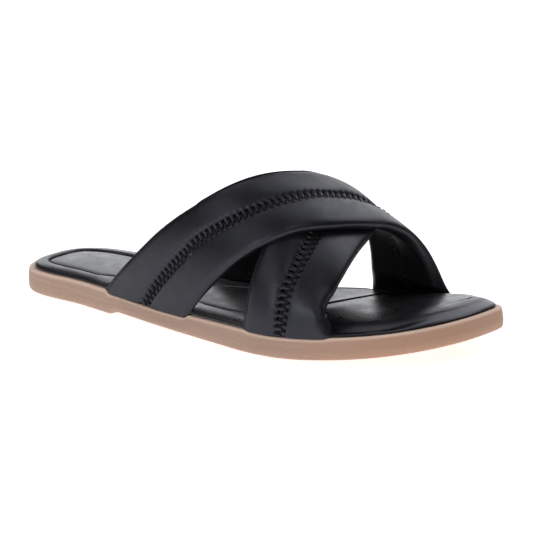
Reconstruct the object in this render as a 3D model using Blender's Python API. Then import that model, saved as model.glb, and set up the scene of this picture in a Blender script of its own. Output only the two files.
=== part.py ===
"""Slip-on sandal with two crossed padded straps: outsole, insole and upper.

Metres, +X to the toe, +Y to the inner side of the foot, +Z up, standing on z = 0.
"""
import bmesh
import bpy
import numpy as np

MM = 0.001

# Driving sizes in millimetres
LENGTH = 255.0
SOLE_HEEL = 12.0
SOLE_FORE = 10.6
TOE_SPRING = 9.8
WAIST_LIFT = 2.0
FLAT_RISE = 0.2
STRAP_THICK = 6.6
STRAP_EDGE_IN = 0.9
FOOT_THICK = 4.0
SEAT_GAP = 0.3
INSOLE_IN = 2.0
INSOLE_TIP_IN = 1.6

# Plan of the sole: share of the length from the heel, then millimetres from the axis
OUTLINE = (
    # along, lateral, medial
    (0.00, 30.9, 30.2),
    (0.14, 28.6, 31.1),
    (0.28, 34.4, 28.2),
    (0.42, 40.4, 21.5),
    (0.56, 45.0, 29.0),
    (0.69, 47.8, 43.0),
    (0.82, 43.2, 45.1),
    (1.00, 37.3, 45.5),
)
PLAN_SHIFT = 1.35
TOE_POINT = 22.0
HEEL_ROUND = (0.177, 2.80)
TOE_ROUND_LATERAL = (0.322, 2.32)
TOE_ROUND_MEDIAL = (0.176, 3.02)

# Places along the length, as shares from the heel
HEEL_BREAST = (0.268, 0.300)
WAIST_END = 0.62
SPRING_START = 0.66
BALL_GROOVE = 0.700
BALL_LEAN = 0.075
ARCH_START = (0.20, 0.36)

# Side of the outsole from its lower edge to its top edge
OUTSOLE_SIDE = (
    # share of the wall's height, inset at the heel, inset at the toe
    (0.00, 2.00, 1.30),
    (0.05, 0.95, 0.45),
    (0.16, 0.30, 0.10),
    (0.36, 0.05, 0.00),
    (0.62, 0.10, 0.35),
    (0.88, 0.35, 0.75),
    (0.97, 0.75, 1.10),
    (1.00, 1.40, 1.70),
    (1.00, 6.20, 6.20),
)
SCOOP_REACH = 7.2
SCOOP_EASE = 4.0

# Footbed from its lower edge inward: heights above the outsole's top
INSOLE_PROFILE = (
    # share of the rim's width, heel, arch, forefoot
    (0.10, 0.3, 0.3, 0.3),
    (0.00, 1.0, 1.2, 1.1),
    (0.07, 1.8, 2.2, 2.9),
    (0.25, 2.45, 3.1, 4.5),
    (0.50, 2.85, 3.55, 5.4),
    (0.78, 2.95, 3.6, 5.9),
    (0.94, 2.0, 2.4, 6.15),
    (1.06, 1.7, 2.0, 6.25),
    (1.30, 2.6, 3.0, 6.4),
)
GROOVE_IN = (
    # along, inset of the groove on the lateral side, on the medial side
    (0.00, 8.4, 8.4),
    (0.12, 9.2, 10.6),
    (0.20, 9.6, 12.5),
    (0.27, 13.0, 16.0),
    (0.42, 13.0, 25.0),
    (0.48, 13.0, 22.0),
    (0.55, 13.5, 16.0),
    (0.63, 17.0, 9.0),
    (0.70, 15.0, 8.5),
    (0.80, 12.0, 12.0),
    (1.00, 12.5, 12.0),
)
PAD_RISE = 8.0
INSOLE_CROWN = 0.4
BALL_GROOVE_DEPTH = 2.0
BALL_GROOVE_HALF = 0.008
NOTCH_OUT = 1.2
NOTCH_EASE = 2.0

# Foot form under the straps: crown heights of the lower strap's outer face
CROWN = (
    # along x, height
    (-70.0, 105.0),
    (-30.0, 93.0),
    (0.0, 82.0),
    (30.0, 70.3),
    (47.0, 63.8),
    (63.0, 54.4),
    (85.0, 41.5),
    (105.0, 35.0),
)
RIDGE_IN = 10.0
FULL_LATERAL = 2.2
FULL_MEDIAL = 2.55
OVER_LIFT = 7.0

# Dips in the sole's top edge that seat the strap ends
REAR_SCOOP = 1.8
FRONT_SCOOP = 0.6

# Straps: share of the way over the foot from the lateral side, then x of the edges and of the seam
OVER_STRAP = (
    # across, rear, seam, front
    (0.00, -61.5, -31.0, -1.0),
    (0.10, -32.0, -7.5, 19.5),
    (0.25, 2.0, 23.0, 46.0),
    (0.40, 21.0, 42.0, 64.5),
    (0.55, 33.5, 52.5, 74.3),
    (0.75, 44.5, 62.0, 80.4),
    (0.92, 46.5, 66.0, 86.4),
    (1.00, 46.5, 68.0, 91.6),
)
UNDER_STRAP = (
    # across, rear, seam, front
    (0.00, 33.8, 58.0, 78.5),
    (0.10, 35.5, 57.5, 77.8),
    (0.25, 37.5, 56.8, 75.3),
    (0.45, 30.8, 50.8, 70.2),
    (0.60, 21.0, 41.8, 61.4),
    (0.75, 6.0, 28.0, 49.0),
    (0.90, -19.0, 8.0, 34.0),
    (1.00, -44.0, -14.0, 17.0),
)

# Strap section: share of each channel from the seam to the edge, then depth below the foot form
CHANNEL_OUTER = (
    # outward, depth
    (0.00, 3.40),
    (0.07, 2.80),
    (0.14, 1.60),
    (0.24, 0.65),
    (0.40, 0.15),
    (0.60, 0.00),
    (0.78, 0.10),
    (0.88, 0.55),
    (0.95, 1.40),
    (0.985, 2.30),
    (1.00, 3.40),
)
CHANNEL_INNER = (
    # outward, share of the strap's thickness
    (0.985, 0.68),
    (0.94, 0.86),
    (0.82, 0.97),
    (0.45, 1.00),
    (0.00, 0.98),
)

SOLE_STATIONS = 46
STRAP_STATIONS = 44
INSOLE_ROW = 5


def column(table, index):
    """One column of a table as an array."""
    return np.array([row[index] for row in table])


def smooth_line(xs, ys, x):
    """Smooth curve through table points that never overshoots them."""
    xs, ys, x = np.asarray(xs, float), np.asarray(ys, float), np.asarray(x, float)
    step = np.diff(xs)
    slope = np.diff(ys) / step
    w1 = 2 * step[1:] + step[:-1]
    w2 = step[1:] + 2 * step[:-1]
    same = slope[:-1] * slope[1:] > 0
    safe = np.where(same, slope[:-1], 1.0), np.where(same, slope[1:], 1.0)
    inner = np.where(same, (w1 + w2) / (w1 / safe[0] + w2 / safe[1]), 0.0)
    tangent = np.concatenate([[slope[0]], inner, [slope[-1]]])
    k = np.clip(np.searchsorted(xs, x) - 1, 0, len(step) - 1)
    s = np.clip((x - xs[k]) / step[k], 0.0, 1.0)
    start = (1 + 2 * s) * (1 - s) ** 2 * ys[k] + s * (1 - s) ** 2 * step[k] * tangent[k]
    end = s * s * (3 - 2 * s) * ys[k + 1] + s * s * (s - 1) * step[k] * tangent[k + 1]
    return start + end


def ramp(x, low, high):
    """Eased step from 0 at low to 1 at high."""
    s = np.clip((np.asarray(x, float) - low) / (high - low), 0.0, 1.0)
    return s * s * (3 - 2 * s)


# Shape of the sole


def end_round(u, toe):
    """Share of the half width left by the rounded heel and toe."""
    heel = np.clip((HEEL_ROUND[0] - u) / HEEL_ROUND[0], 0.0, 1.0)
    front = np.clip((u - 1 + toe[0]) / toe[0], 0.0, 1.0)
    return (1 - heel ** HEEL_ROUND[1]) ** (1 / HEEL_ROUND[1]) * (1 - front ** toe[1]) ** (1 / toe[1])


def side_lines(u):
    """Lateral and medial edge of the sole at shares of the length."""
    along = column(OUTLINE, 0)
    centre = TOE_POINT * np.clip((u - 0.5) / 0.5, 0.0, 1.0) ** 1.5
    lateral = smooth_line(along, column(OUTLINE, 1), u) + centre
    medial = smooth_line(along, column(OUTLINE, 2), u) - centre
    middle = centre + PLAN_SHIFT
    return (middle - lateral * end_round(u, TOE_ROUND_LATERAL), middle + medial * end_round(u, TOE_ROUND_MEDIAL))


def spring(u):
    """Rise of the toe."""
    return TOE_SPRING * np.clip((u - SPRING_START) / (1 - SPRING_START), 0.0, 1.0) ** 2


def sole_bottom(u):
    """Underside: flat heel, lifted waist, flat forefoot with a clear front end and toe spring."""
    fall = np.clip((WAIST_END - u) / (WAIST_END - HEEL_BREAST[1]), 0.0, 1.0)
    flat_end = FLAT_RISE * ramp(u, SPRING_START, SPRING_START + 0.015)
    return WAIST_LIFT * ramp(u, *HEEL_BREAST) * fall + flat_end + spring(u)


def sole_top(u):
    """Top of the outsole."""
    return SOLE_HEEL + (SOLE_FORE - SOLE_HEEL) * ramp(u, 0.24, 0.44) + spring(u)


def strap_ends(side):
    """Rear and front x of the strap ends of one side, with the depth of their seats."""
    end = 0 if side == "lateral" else -1
    seats = (REAR_SCOOP, FRONT_SCOOP) if side == "lateral" else (FRONT_SCOOP, REAR_SCOOP)
    return [(table[end][1], table[end][3], seat) for table, seat in zip((OVER_STRAP, UNDER_STRAP), seats)]


def end_reach(x, rear, front, ease):
    """1 along a strap end, easing to 0 beyond its edges."""
    return ramp(x, rear - ease, rear) * (1 - ramp(x, front, front + ease))


def scoop(u, side):
    """Depth of the dips in the top edge of one side of the sole."""
    x = (u - 0.5) * LENGTH
    ease = SCOOP_EASE
    return sum(seat * end_reach(x, rear + ease, front - ease, ease) for rear, front, seat in strap_ends(side))


def scoop_shares():
    """Shares of the length where the dips start and end."""
    ends = strap_ends("lateral") + strap_ends("medial")
    places = [x for rear, front, _ in ends for x in (rear, rear + SCOOP_EASE, front - SCOOP_EASE, front)]
    return [x / LENGTH + 0.5 for x in places]


def stations(extra=()):
    """Shares of the length, closer together at the heel and toe."""
    turn = np.linspace(0.0, np.pi, SOLE_STATIONS)
    even = (1 - np.cos(turn)) / 2
    fixed = []
    for share in sorted(extra):
        if not fixed or share - fixed[-1] > 0.002:
            fixed.append(share)
    kept = [v for v in even if min([abs(v - f) for f in fixed], default=1.0) > 0.006]
    return np.array(sorted(kept + fixed))


def plan_ring(u, inset, lean=0.0):
    """Outline moved inward: heel to toe on the lateral side, then back on the medial side."""
    lateral = np.c_[(u - lean - 0.5) * LENGTH, side_lines(u - lean)[0]]
    medial = np.c_[(u + lean - 0.5) * LENGTH, side_lines(u + lean)[1]]
    ring = np.vstack([lateral, medial[-2:0:-1]])
    along = np.roll(ring, -1, axis=0) - np.roll(ring, 1, axis=0)
    inward = np.c_[-along[:, 1], along[:, 0]] / np.linalg.norm(along, axis=1)[:, None]
    return ring + inward * np.reshape(inset, (-1, 1))


def share_of(plan):
    """Share of the length where each point of a plan lies."""
    return plan[:, 0] / LENGTH + 0.5


def ring_sides(u, value, lean=0.0):
    """Values of value(u, side) round a ring."""
    return np.concatenate([value(u - lean, "lateral"), value(u + lean, "medial")[-2:0:-1]])


def ring_shares(u, lean=0.0):
    """Share of the length of each point of a ring."""
    return ring_sides(u, lambda share, side: share, lean)


# Mesh building


def ring_faces(first, second, count):
    """Quads between two rings of equal count."""
    return [(first + i, first + (i + 1) % count, second + (i + 1) % count, second + i) for i in range(count)]


def fill_ring(points, faces, start, n, row, crown=0.0):
    """Closes a ring of n stations with rows of points across it, raised to a crown in the middle."""
    count = 2 * n - 2
    ring = np.array(points[start:start + count])
    rows = [[start]]
    for i in range(1, n - 1):
        a, b = ring[i], ring[count - i]
        top = crown * ramp(min(i, n - 1 - i), 0, 9)
        line = [start + i]
        for k in range(1, row):
            across = 2 * k / row - 1
            line.append(len(points))
            points.append(a + (b - a) * (k / row) + np.array([0.0, 0.0, top * (1 - across ** 2)]))
        rows.append(line + [start + count - i])
    rows.append([start + n - 1])
    for low, high in zip(rows[:-1], rows[1:]):
        if len(low) == 1:
            faces += [(low[0], high[k + 1], high[k]) for k in range(row)]
        elif len(high) == 1:
            faces += [(high[0], low[k], low[k + 1]) for k in range(row)]
        else:
            faces += [(low[k], low[k + 1], high[k + 1], high[k]) for k in range(row)]


def add_object(name, points, faces, colour, roughness):
    """Closed mesh object with its own material, all faces turned outward."""
    mesh = bpy.data.meshes.new(name)
    mesh.from_pydata([tuple(np.array(p) * MM) for p in points], [], faces)
    work = bmesh.new()
    work.from_mesh(mesh)
    bmesh.ops.recalc_face_normals(work, faces=work.faces)
    work.to_mesh(mesh)
    work.free()
    material = bpy.data.materials.new(name)
    material.use_nodes = True
    shader = material.node_tree.nodes["Principled BSDF"]
    shader.inputs["Base Color"].default_value = (*colour, 1.0)
    shader.inputs["Roughness"].default_value = roughness
    shader.inputs["Metallic"].default_value = 0.0
    mesh.materials.append(material)
    item = bpy.data.objects.new(name, mesh)
    bpy.context.scene.collection.objects.link(item)
    return item


# Outsole


def build_outsole():
    """Moulded sole unit with its rounded lower edge and bevelled top edge."""
    u = stations(extra=scoop_shares() + [0.276, 0.292, 0.306])
    share = ring_shares(u)
    count = len(share)
    points, faces = [], []
    toe = ramp(share, 0.3, 0.8)
    for up, heel_in, toe_in in OUTSOLE_SIDE:
        plan = plan_ring(u, heel_in + (toe_in - heel_in) * toe)
        low = sole_bottom(share_of(plan))
        edge = sole_top(share_of(plan)) - ring_sides(u, scoop)
        points += list(np.c_[plan, low + up * (edge - low)])
    plan = plan_ring(u, SCOOP_REACH)
    points += list(np.c_[plan, sole_top(share_of(plan))])
    for k in range(len(OUTSOLE_SIDE)):
        faces += ring_faces(k * count, (k + 1) * count, count)
    fill_ring(points, faces, 0, len(u), 4)
    fill_ring(points, faces, len(OUTSOLE_SIDE) * count, len(u), 4)
    return add_object("outsole", points, faces, (0.376, 0.238, 0.188), 0.6)


# Insole


def strap_notch(u, side):
    """How far the footbed steps in beside the strap ends of one side, in millimetres."""
    x = (u - 0.5) * LENGTH
    depth = STRAP_EDGE_IN + FOOT_THICK + 2 * SEAT_GAP - INSOLE_IN
    ends = [(rear - NOTCH_OUT, front + NOTCH_OUT) for rear, front, _ in strap_ends(side)]
    return depth * sum(end_reach(x, rear, front, NOTCH_EASE) for rear, front in ends)


def ball_lean(u):
    """How far the footbed's rows lean, so that the groove across the ball runs askew."""
    return BALL_LEAN * np.exp(-((u - BALL_GROOVE) / 0.14) ** 2) * ramp(1 - u, 0.0, 0.25)


def notch_shares():
    """Shares of the length, along the leaning rows, where the notches start and end."""
    shares = []
    for side, sign in (("lateral", 1), ("medial", -1)):
        for rear, front, _ in strap_ends(side):
            for out in (NOTCH_OUT, NOTCH_OUT + NOTCH_EASE):
                corners = np.array([rear - out, front + out]) / LENGTH + 0.5
                shares += list(corners + sign * ball_lean(corners))
    return shares


def groove_in(u, side):
    """Distance of the pad's groove from the sole's edge."""
    return smooth_line(column(GROOVE_IN, 0), column(GROOVE_IN, 1 if side == "lateral" else 2), u)


def build_insole():
    """Padded footbed with a rolled rim, a groove round its heel and arch pad and one across the ball."""
    half = BALL_GROOVE_HALF
    u = stations(extra=[BALL_GROOVE + half * k for k in (-2.0, -1.0, -0.4, 0.4, 1.0, 2.0)] + notch_shares())
    lean = ball_lean(u)
    share = ring_shares(u, lean)
    row = ring_shares(u)
    count = len(share)
    tip = INSOLE_TIP_IN * (ramp(share, 0.90, 1.0) + 1 - ramp(share, 0.0, 0.08))
    edge = INSOLE_IN + tip + ring_sides(u, strap_notch, lean)
    inner = ring_sides(u, groove_in, lean)
    forefoot = ramp(row, BALL_GROOVE - half, BALL_GROOVE + 3 * half)
    groove = BALL_GROOVE_DEPTH * np.exp(-((row - BALL_GROOVE) / half) ** 2)
    points, faces = [], []
    for inward, heel_high, arch_high, fore_high in INSOLE_PROFILE:
        rear_high = heel_high + (arch_high - heel_high) * ramp(share, *ARCH_START)
        high = rear_high + (fore_high - rear_high) * forefoot - groove * ramp(inward, 0.7, 1.3)
        reach = np.where(inward < 1, edge + inward * (inner - edge), inner + (inward - 1) * PAD_RISE)
        plan = plan_ring(u, reach, lean)
        points += list(np.c_[plan, sole_top(share_of(plan)) + high])
    for k in range(len(INSOLE_PROFILE) - 1):
        faces += ring_faces(k * count, (k + 1) * count, count)
    fill_ring(points, faces, 0, len(u), 4)
    fill_ring(points, faces, (len(INSOLE_PROFILE) - 1) * count, len(u), INSOLE_ROW, INSOLE_CROWN)
    return add_object("insole", points, faces, (0.020, 0.020, 0.022), 0.45)


# Upper


def form_point(x, t, lift):
    """Point of the foot form at x, a share t over the foot from the lateral side."""
    u = x / LENGTH + 0.5
    lateral, medial = side_lines(u)
    lateral, medial = lateral + STRAP_EDGE_IN, medial - STRAP_EDGE_IN
    seat = np.where(t < 0.5, scoop(u, "lateral"), scoop(u, "medial"))
    low = sole_top(u) - seat + SEAT_GAP
    ridge = (lateral + medial) / 2 + RIDGE_IN
    crown = smooth_line(column(CROWN, 0), column(CROWN, 1), x) + lift
    turn = np.pi * np.clip(t, 0.0, 1.0)
    c, s = np.cos(turn), np.sin(turn)
    full = np.where(c >= 0, FULL_LATERAL, FULL_MEDIAL)
    reach = np.where(c >= 0, ridge - lateral, medial - ridge)
    y = ridge - np.sign(c) * reach * np.abs(c) ** (2 / full)
    z = low + (crown - low) * np.abs(s) ** (2 / full)
    return np.stack([x, y, z], axis=-1)


def form_normal(x, t, lift):
    """Outward direction of the foot form, level at the sole."""
    inside = np.clip(t, 0.012, 0.988)
    along = form_point(x + 0.5, inside, lift) - form_point(x - 0.5, inside, lift)
    over = form_point(x, inside + 0.006, lift) - form_point(x, inside - 0.006, lift)
    out = np.cross(along, over)
    out /= np.linalg.norm(out, axis=-1)[..., None]
    near_sole = 1 - ramp(np.minimum(t, 1 - t), 0.0, 0.03)
    out[..., 2] *= 1 - near_sole
    return out / np.linalg.norm(out, axis=-1)[..., None]


def strap_section(rear, seam, front):
    """x of the section's points, their outer depths and their shares of the thickness, round the strap."""
    out = column(CHANNEL_OUTER, 0)
    depth = column(CHANNEL_OUTER, 1)
    inn = column(CHANNEL_INNER, 0)
    share = column(CHANNEL_INNER, 1)
    x = np.concatenate([
        seam + (rear - seam) * out[::-1],
        seam + (front - seam) * out[1:],
        seam + (front - seam) * inn,
        seam + (rear - seam) * inn[-2::-1],
    ])
    outer = np.concatenate([depth[::-1], depth[1:], np.full(2 * len(inn) - 1, np.nan)])
    inner = np.concatenate([np.full(2 * len(out) - 1, np.nan), share, share[-2::-1]])
    return x, outer, inner


def strap_mesh(table, lift):
    """Points and faces of one padded strap from its lateral end to its medial end."""
    even = np.linspace(0.0, 1.0, STRAP_STATIONS)
    across = 0.4 * even + 0.6 * (1 - np.cos(np.pi * even)) / 2
    points, faces = [], []
    for t in across:
        rear, seam, front = (float(smooth_line(column(table, 0), column(table, k), t)) for k in (1, 2, 3))
        x, outer, inner = strap_section(rear, seam, front)
        spot = np.full_like(x, t)
        foot = 1 - ramp(min(t, 1 - t), 0.015, 0.06)
        thick = STRAP_THICK + (FOOT_THICK - STRAP_THICK) * foot
        squeeze = thick / STRAP_THICK
        depth = np.where(np.isnan(outer), inner * thick, outer * squeeze)
        points += list(form_point(x, spot, lift) - form_normal(x, spot, lift) * depth[:, None])
    count = len(x)
    for k in range(len(across) - 1):
        faces += ring_faces(k * count, (k + 1) * count, count)
    last = (len(across) - 1) * count
    half = len(CHANNEL_OUTER) * 2 - 1
    for start in (0, last):
        faces += cap_faces(start, count, half)
    return points, faces


def cap_faces(start, count, outer_count):
    """Strip of faces that closes a strap's end between its outer and inner line."""
    outer = [start + k for k in range(outer_count)]
    inner = [start + k for k in range(count - 1, outer_count - 1, -1)]
    faces = []
    i = j = 0
    while i < len(outer) - 1 or j < len(inner) - 1:
        ahead = (i + 1) / (len(outer) - 1) <= (j + 1) / (len(inner) - 1)
        if j == len(inner) - 1 or (i < len(outer) - 1 and ahead):
            faces.append((outer[i], outer[i + 1], inner[j]))
            i += 1
        else:
            faces.append((outer[i], inner[j + 1], inner[j]))
            j += 1
    return faces


def build_upper():
    """Both straps, joined where they cross."""
    under = add_object("upper", *strap_mesh(UNDER_STRAP, 0.0), (0.024, 0.025, 0.028), 0.4)
    over = add_object("over_strap", *strap_mesh(OVER_STRAP, OVER_LIFT), (0.024, 0.025, 0.028), 0.4)
    join = under.modifiers.new("join", "BOOLEAN")
    join.operation = "UNION"
    join.solver = "EXACT"
    join.object = over
    over.hide_render = True
    over.display_type = "WIRE"
    return under


def clear_scene():
    """Removes what the scene starts with."""
    for item in list(bpy.data.objects):
        bpy.data.objects.remove(item)


clear_scene()
build_outsole()
build_insole()
build_upper()
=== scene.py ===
"""Looks of the slip-on sandal: padded straps, zigzag seams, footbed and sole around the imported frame.

Sizes are millimetres in the shoe's own frame: +X to the toe, +Y to the inner side of the foot, +Z up.
"""

import bmesh
import bpy
import numpy as np
from mathutils import Matrix, Vector


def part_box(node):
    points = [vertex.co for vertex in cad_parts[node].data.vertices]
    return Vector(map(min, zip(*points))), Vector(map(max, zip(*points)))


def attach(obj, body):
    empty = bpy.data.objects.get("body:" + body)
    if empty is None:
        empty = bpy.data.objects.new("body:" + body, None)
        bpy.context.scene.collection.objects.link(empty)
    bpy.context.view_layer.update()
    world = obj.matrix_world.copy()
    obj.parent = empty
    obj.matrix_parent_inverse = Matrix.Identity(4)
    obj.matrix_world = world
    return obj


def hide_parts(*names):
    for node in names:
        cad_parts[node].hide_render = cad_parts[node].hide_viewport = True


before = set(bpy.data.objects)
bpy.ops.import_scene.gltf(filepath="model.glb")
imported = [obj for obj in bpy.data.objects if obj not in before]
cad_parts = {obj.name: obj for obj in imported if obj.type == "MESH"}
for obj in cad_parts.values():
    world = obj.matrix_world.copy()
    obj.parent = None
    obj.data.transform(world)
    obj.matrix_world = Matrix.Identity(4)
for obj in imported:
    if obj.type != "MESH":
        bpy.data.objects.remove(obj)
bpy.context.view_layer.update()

MM = 0.001

# Driving sizes of the shoe
LENGTH = round((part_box("outsole")[1][0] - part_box("outsole")[0][0]) / MM, 1)
SOLE_HEEL = 12.0
SOLE_FORE = 10.6
TOE_SPRING = 9.8
WAIST_LIFT = 2.0
FLAT_RISE = 0.2
STRAP_THICK = 6.6
STRAP_EDGE_IN = 0.9
FOOT_THICK = 4.0
SEAT_GAP = 0.3
INSOLE_IN = 2.0
INSOLE_TIP_IN = 1.6

# Plan of the sole: share of the length from the heel, then millimetres from the axis
OUTLINE = (
    # along, lateral, medial
    (0.00, 30.9, 30.2),
    (0.14, 28.6, 31.1),
    (0.28, 34.4, 28.2),
    (0.42, 40.4, 21.5),
    (0.56, 45.0, 29.0),
    (0.69, 47.8, 43.0),
    (0.82, 43.2, 45.1),
    (1.00, 37.3, 45.5),
)
PLAN_SHIFT = 1.35
TOE_POINT = 22.0
POINT_START = 0.5
POINT_POWER = 1.5
HEEL_ROUND = (0.177, 2.80)
TOE_ROUND_LATERAL = (0.322, 2.32)
TOE_ROUND_MEDIAL = (0.176, 3.02)

# Places along the length, as shares from the heel
HEEL_BREAST = (0.268, 0.300)
TOP_FALL = (0.24, 0.44)
WAIST_END = 0.62
SPRING_START = 0.66
FLAT_END = 0.015
BALL_GROOVE = 0.700
BALL_LEAN = 0.043
BALL_LEAN_HALF = 0.14
BALL_LEAN_FADE = 0.25
ARCH_START = (0.20, 0.36)

# Side of the outsole from its lower edge to its top edge
OUTSOLE_SIDE = (
    # share of the wall's height, inset at the heel, inset at the toe
    (0.00, 2.00, 1.30),
    (0.05, 0.95, 0.45),
    (0.16, 0.30, 0.10),
    (0.36, 0.05, 0.00),
    (0.62, 0.10, 0.35),
    (0.88, 0.35, 0.75),
    (0.965, 0.75, 1.10),
    (1.00, 1.40, 1.70),
    (1.00, 6.20, 6.20),
)
SIDE_CHANGE = (0.3, 0.8)
# Share of the wall's height where the top edge gets a painted highlight, a paler colour on the bevel that
# faces up
RIM_HIGHLIGHT_SPAN = (0.82, 0.98)
WARM_SPAN = (0.62, 0.95)
SCOOP_REACH = 7.2
SCOOP_EASE = 4.0
REAR_SCOOP = 1.8
FRONT_SCOOP = 0.6

# Footbed from its lower edge inward: heights above the outsole's top
FOOTBED_PROFILE = (
    # share of the rim's width, heel, arch, outer forefoot, inner forefoot, toe
    (0.10, 0.30, 0.30, 0.30, 0.30, 0.30),
    (0.00, 0.90, 1.10, 0.70, 1.00, 0.80),
    (0.04, 1.50, 1.85, 1.10, 2.10, 1.30),
    (0.11, 2.00, 2.50, 1.40, 3.20, 1.90),
    (0.22, 2.40, 3.00, 1.50, 4.25, 2.60),
    (0.32, 2.62, 3.28, 1.42, 4.80, 3.15),
    (0.38, 2.74, 3.40, 1.35, 5.05, 3.45),
    (0.46, 2.85, 3.52, 1.75, 5.30, 3.85),
    (0.58, 2.95, 3.62, 2.55, 5.60, 4.40),
    (0.70, 3.00, 3.68, 3.25, 5.90, 4.85),
    (0.80, 2.95, 3.62, 3.75, 6.10, 5.15),
    (0.88, 2.70, 3.30, 4.10, 6.20, 5.35),
    (0.95, 2.05, 2.50, 4.35, 6.28, 5.50),
    (1.00, 1.40, 1.70, 4.52, 6.32, 5.62),
    (1.06, 1.75, 2.05, 4.65, 6.35, 5.73),
    (1.18, 2.35, 2.75, 4.88, 6.40, 5.93),
    (1.45, 2.75, 3.20, 5.25, 6.45, 6.20),
)
GROOVE_IN = (
    # along, inset of the groove on the lateral side, on the medial side
    (0.00, 10.4, 10.4),
    (0.12, 10.2, 11.6),
    (0.19, 9.6, 12.5),
    (0.25, 15.0, 15.0),
    (0.42, 13.0, 23.0),
    (0.48, 13.0, 20.5),
    (0.55, 13.5, 15.5),
    (0.63, 17.0, 9.0),
    (0.70, 15.0, 8.5),
    (0.80, 12.0, 12.0),
    (1.00, 12.5, 12.0),
)
TOE_TIP = (0.89, 0.97)
HEEL_END = (0.0, 0.08)
TOE_END = (0.90, 1.0)
PAD_REACH = 8.0
PAD_CROWN = 0.5
FORE_CROWN = 1.3
FORE_CROWN_EASE = 0.06
PAD_RISES = {
    # along, rise of the pad above its heel on that side
    "lateral": ((0.0, 0.0), (0.625, 0.0), (0.66, 2.2), (1.0, 2.2)),
    "medial": ((0.0, 0.0), (0.34, 0.0), (0.46, 1.6), (0.56, 1.7), (0.68, 2.2), (1.0, 2.2)),
}
BALL_GROOVE_DEPTH = 2.6
BALL_GROOVE_HALF = 0.0042
BALL_STEP = 0.012
FORE_DIP = 0.6
FORE_DIP_EASE = 0.08
NOTCH_IN = 2.0
NOTCH_EASE = 2.0

# Spans of the rim's width over which the pad's rise, dip and ball groove come in
RISE_SPAN = (0.5, 1.1)
DIP_SPAN = (0.4, 1.0)
BALL_GROOVE_SPAN = (0.7, 1.3)

# Satin sheen of the footbed behind the ball
SATIN_AT_HEEL = 0.35
SATIN_SPAN = (0.15, 0.45)
SATIN_END = 0.05

# Short stitches on the arch pad
PAD_STITCH = 3.0
PAD_STITCH_LONG = 1.5
PAD_STITCH_START = 1.0
PAD_STITCH_SPAN = (0.44, 0.64)
PAD_STITCH_IN = 1.13
PAD_STITCH_RISE = 0.25
PAD_STITCH_SINK = 0.14
PAD_STITCH_RADIUS = 0.2
PAD_STITCH_STEPS = 6

# Foot form under the straps: crown heights of the lower strap's outer face
CROWN = (
    # along x, height
    (-70.0, 105.0),
    (-30.0, 93.0),
    (0.0, 82.0),
    (30.0, 70.3),
    (47.0, 63.8),
    (63.0, 54.4),
    (85.0, 41.5),
    (105.0, 35.0),
)
RIDGE_IN = 10.0
FULL_LATERAL = 2.2
FULL_MEDIAL = 2.55
OVER_LIFT = 7.0

# Shares over the foot where a strap's end is pressed on the sole and where it stands upright
FOOT_SPAN = (0.015, 0.06)
UPRIGHT_SHARE = 0.03

# Small steps to find the foot form's direction: millimetres along it and a share over it
LENGTH_STEP = 0.5
SHARE_STEP = 0.006

# Straps: share of the way over the foot from the lateral side, then x of the edges and of the seam
OVER_STRAP = (
    # across, rear, seam, front
    (0.00, -61.5, -32.0, -1.0),
    (0.10, -32.0, -7.6, 19.5),
    (0.25, 2.0, 24.0, 46.0),
    (0.40, 21.0, 43.6, 64.5),
    (0.55, 33.5, 56.8, 74.3),
    (0.75, 45.3, 64.0, 80.4),
    (0.92, 47.0, 66.0, 86.4),
    (1.00, 46.5, 68.0, 91.6),
)
UNDER_STRAP = (
    # across, rear, seam, front
    (0.00, 33.8, 55.5, 79.6),
    (0.04, 34.5, 56.0, 78.7),
    (0.08, 35.2, 56.3, 76.8),
    (0.12, 35.8, 56.4, 75.0),
    (0.16, 36.5, 57.0, 75.2),
    (0.20, 37.1, 57.6, 75.9),
    (0.25, 37.5, 57.7, 75.7),
    (0.45, 30.8, 51.8, 70.8),
    (0.60, 21.0, 41.8, 61.4),
    (0.75, 6.0, 28.0, 49.0),
    (0.90, -19.0, 8.0, 34.0),
    (1.00, -44.0, -14.0, 17.0),
)

# Strap section: share of each channel from the seam to the edge, then depth below the foot form
REAR_CHANNEL = (
    # outward, depth
    (0.000, 2.10),
    (0.086, 2.00),
    (0.112, 1.68),
    (0.145, 1.22),
    (0.185, 0.82),
    (0.235, 0.52),
    (0.300, 0.30),
    (0.370, 0.15),
    (0.460, 0.05),
    (0.600, 0.00),
    (0.760, 0.08),
    (0.860, 0.30),
    (0.915, 0.65),
    (0.938, 1.20),
    (0.950, 1.35),
    (0.962, 1.00),
    (0.976, 0.78),
    (0.988, 1.15),
    (0.996, 1.75),
    (1.000, 2.60),
)
FRONT_CHANNEL = (
    # outward, depth
    (0.000, 2.10),
    (0.088, 2.10),
    (0.100, 1.60),
    (0.114, 0.95),
    (0.132, 0.55),
    (0.162, 0.36),
    (0.220, 0.24),
    (0.300, 0.14),
    (0.420, 0.05),
    (0.560, 0.00),
    (0.700, 0.04),
    (0.780, 0.09),
    (0.840, 0.20),
    (0.890, 0.40),
    (0.930, 0.72),
    (0.960, 1.14),
    (0.982, 1.66),
    (0.994, 2.20),
    (1.000, 2.85),
)
LINING_SIDE = (
    # outward, share of the strap's thickness
    (0.994, 0.55),
    (0.978, 0.66),
    (0.946, 0.78),
    (0.900, 0.89),
    (0.840, 0.97),
    (0.700, 1.00),
    (0.400, 1.00),
    (0.160, 0.98),
    (0.090, 0.96),
    (0.000, 0.95),
)

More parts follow.
